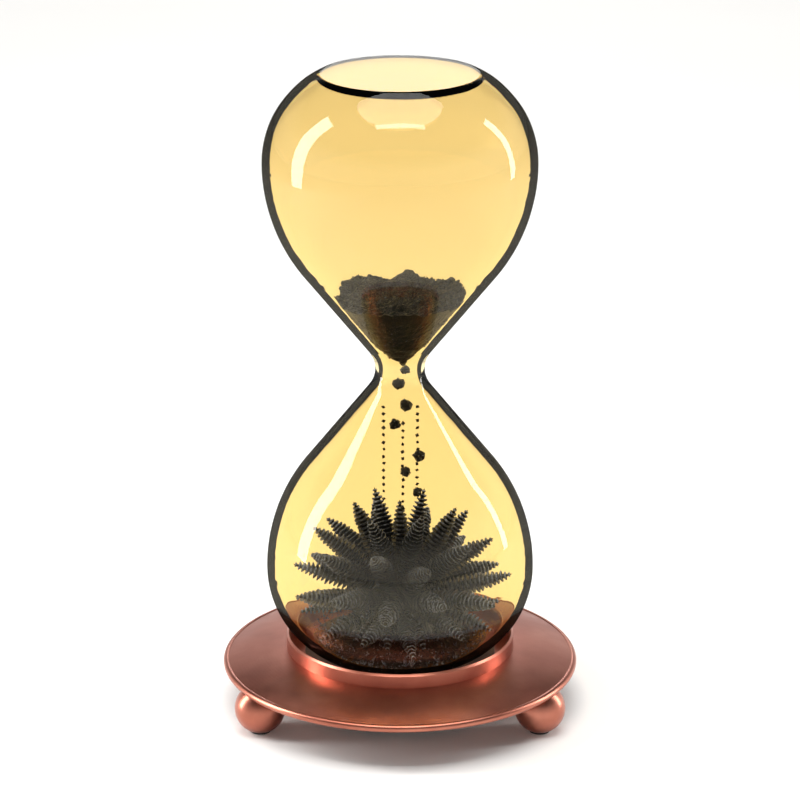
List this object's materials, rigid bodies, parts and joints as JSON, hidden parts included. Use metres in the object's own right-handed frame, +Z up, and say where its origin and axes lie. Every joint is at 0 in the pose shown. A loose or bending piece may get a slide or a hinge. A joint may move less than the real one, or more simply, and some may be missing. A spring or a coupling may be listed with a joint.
{
  "type": "magnetic desk sculpture",
  "caption": "Tinted glass hourglass that lifts off a round copper-finished magnetic base on ball feet, with iron filings growing into fern-like fronds.",
  "frame": {"origin": "on the table, under the centre of the base", "axes": "+Z up along the glass, -Y towards the front, +X to the right"},
  "size_m": [0.082, 0.0836, 0.1491],
  "materials": {
    "copper": "copper-plated, satin",
    "cover_paint": "matt black enamel",
    "ferrite": "ground",
    "foam_tape": "matt",
    "steel": "zinc-plated",
    "felt": "pressed felt",
    "pad_rubber": "matt",
    "plug_rubber": "matt",
    "amber_glass": "clear, tinted amber",
    "iron_filings": "granular, dull metallic"
  },
  "bodies": {
    "base": {"base_dish": "copper", "seat_cup": "copper", "magnet": "ferrite", "magnet_tape": "foam_tape", "keeper_plate": "steel", "bottom_cover": "cover_paint", "cover_screw_1": "steel", "cover_screw_2": "steel", "cover_screw_3": "steel", "ball_foot_1": "copper", "ball_foot_2": "copper", "ball_foot_3": "copper", "foot_stud_1": "steel", "foot_stud_2": "steel", "foot_stud_3": "steel", "foot_pad_1": "pad_rubber", "foot_pad_2": "pad_rubber", "foot_pad_3": "pad_rubber"},
    "seat": {"seat_ring": "felt"},
    "timer": {"glass_body": "amber_glass", "fill_plug": "plug_rubber", "upper_filings": "iron_filings", "filings_core": "iron_filings", "fronds_floor": "iron_filings", "fronds_low": "iron_filings", "fronds_middle": "iron_filings", "fronds_upper": "iron_filings", "fronds_crown": "iron_filings", "fronds_spire": "iron_filings", "loose_filings": "iron_filings"},
    "falling": {"falling_clumps": "iron_filings", "falling_grains": "iron_filings"}
  },
  "joints": [
    {"name": "seat_spin", "type": "hinge", "parent": "base", "child": "seat", "pos_m": [0, 0, 0.0125], "axis": [0, 0, 1], "continuous": true},
    {"name": "timer_lift", "type": "slide", "parent": "seat", "child": "timer", "axis": [0, 0, 1], "range_m": [0, 0.08]},
    {"name": "grain_drop", "type": "slide", "parent": "timer", "child": "falling", "axis": [0, 0, -1], "range_m": [0, 0.006]}
  ]
}
